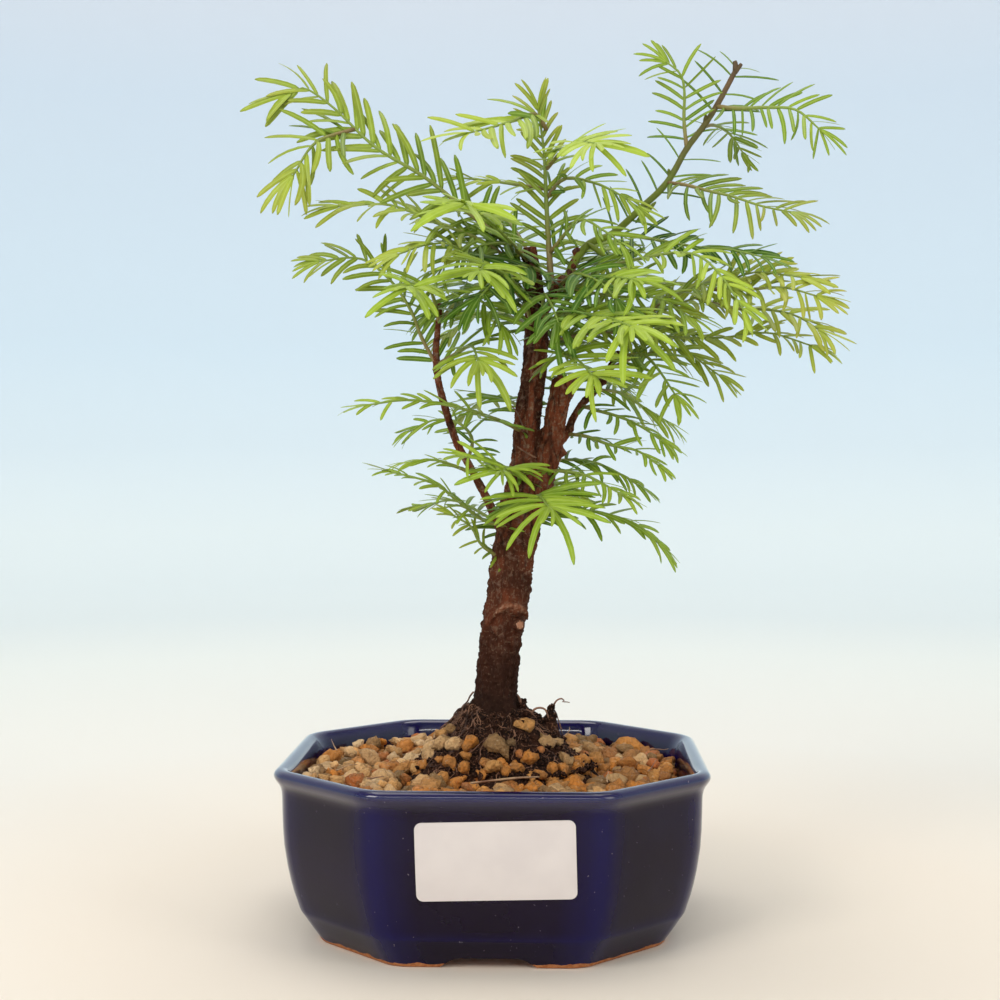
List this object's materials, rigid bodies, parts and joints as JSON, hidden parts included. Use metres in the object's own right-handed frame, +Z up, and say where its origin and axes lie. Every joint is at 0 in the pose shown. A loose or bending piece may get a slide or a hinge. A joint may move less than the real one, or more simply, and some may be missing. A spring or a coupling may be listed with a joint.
{
  "type": "dawn redwood bonsai in a glazed pot",
  "caption": "Small dawn redwood bonsai with feathery green shoots, forked brown trunk, gravel-topped soil and an eight-sided blue glazed pot.",
  "frame": {"origin": "under the middle of the plant's outline, on the plane the pot stands on", "axes": "+Z up, -Y towards the front of the pot with its sticker, +X to the right seen from the front"},
  "size_m": [0.2035, 0.145, 0.3094],
  "materials": {
    "glaze": "gloss",
    "gravel": "matte",
    "soil": "matte",
    "bark": "matte",
    "shoot": "satin",
    "needles": "satin",
    "label": "satin",
    "mesh": "matte"
  },
  "bodies": {
    "root": {"drain_mesh_left": "mesh", "drain_mesh_right": "mesh", "gravel": "gravel", "label": "label", "leader": "shoot", "pot": "glaze", "soil": "soil", "spray_arch_right": "needles", "spray_back_crown": "needles", "spray_back_left": "needles", "spray_back_limb": "needles", "spray_back_low": "needles", "spray_back_low_left": "needles", "spray_back_middle": "needles", "spray_back_right": "needles", "spray_back_right_crown": "needles", "spray_centre": "needles", "spray_centre_droop": "needles", "spray_centre_front": "needles", "spray_crown_left": "needles", "spray_crown_left_side": "needles", "spray_far_right": "needles", "spray_far_right_front": "needles", "spray_far_right_low": "needles", "spray_front_high": "needles", "spray_front_left": "needles", "spray_front_middle": "needles", "spray_front_right_high": "needles", "spray_front_right_low": "needles", "spray_hanging": "needles", "spray_inner_front": "needles", "spray_inner_left": "needles", "spray_leader_back": "needles", "spray_leader_low": "needles", "spray_leader_middle": "needles", "spray_leader_right": "needles", "spray_leader_up": "needles", "spray_left_arch": "needles", "spray_left_branch_long": "needles", "spray_left_inner": "needles", "spray_left_low": "needles", "spray_left_low_front": "needles", "spray_left_lowest": "needles", "spray_left_middle": "needles", "spray_left_upper": "needles", "spray_limb_back": "needles", "spray_limb_front": "needles", "spray_limb_right": "needles", "spray_near_high": "needles", "spray_near_low": "needles", "spray_right_back": "needles", "spray_right_low": "needles", "spray_right_lower": "needles", "spray_twig_back": "needles", "spray_twig_front": "needles", "spray_twig_low": "needles", "spray_twig_right": "needles", "trunk": "bark"}
  },
  "joints": []
}
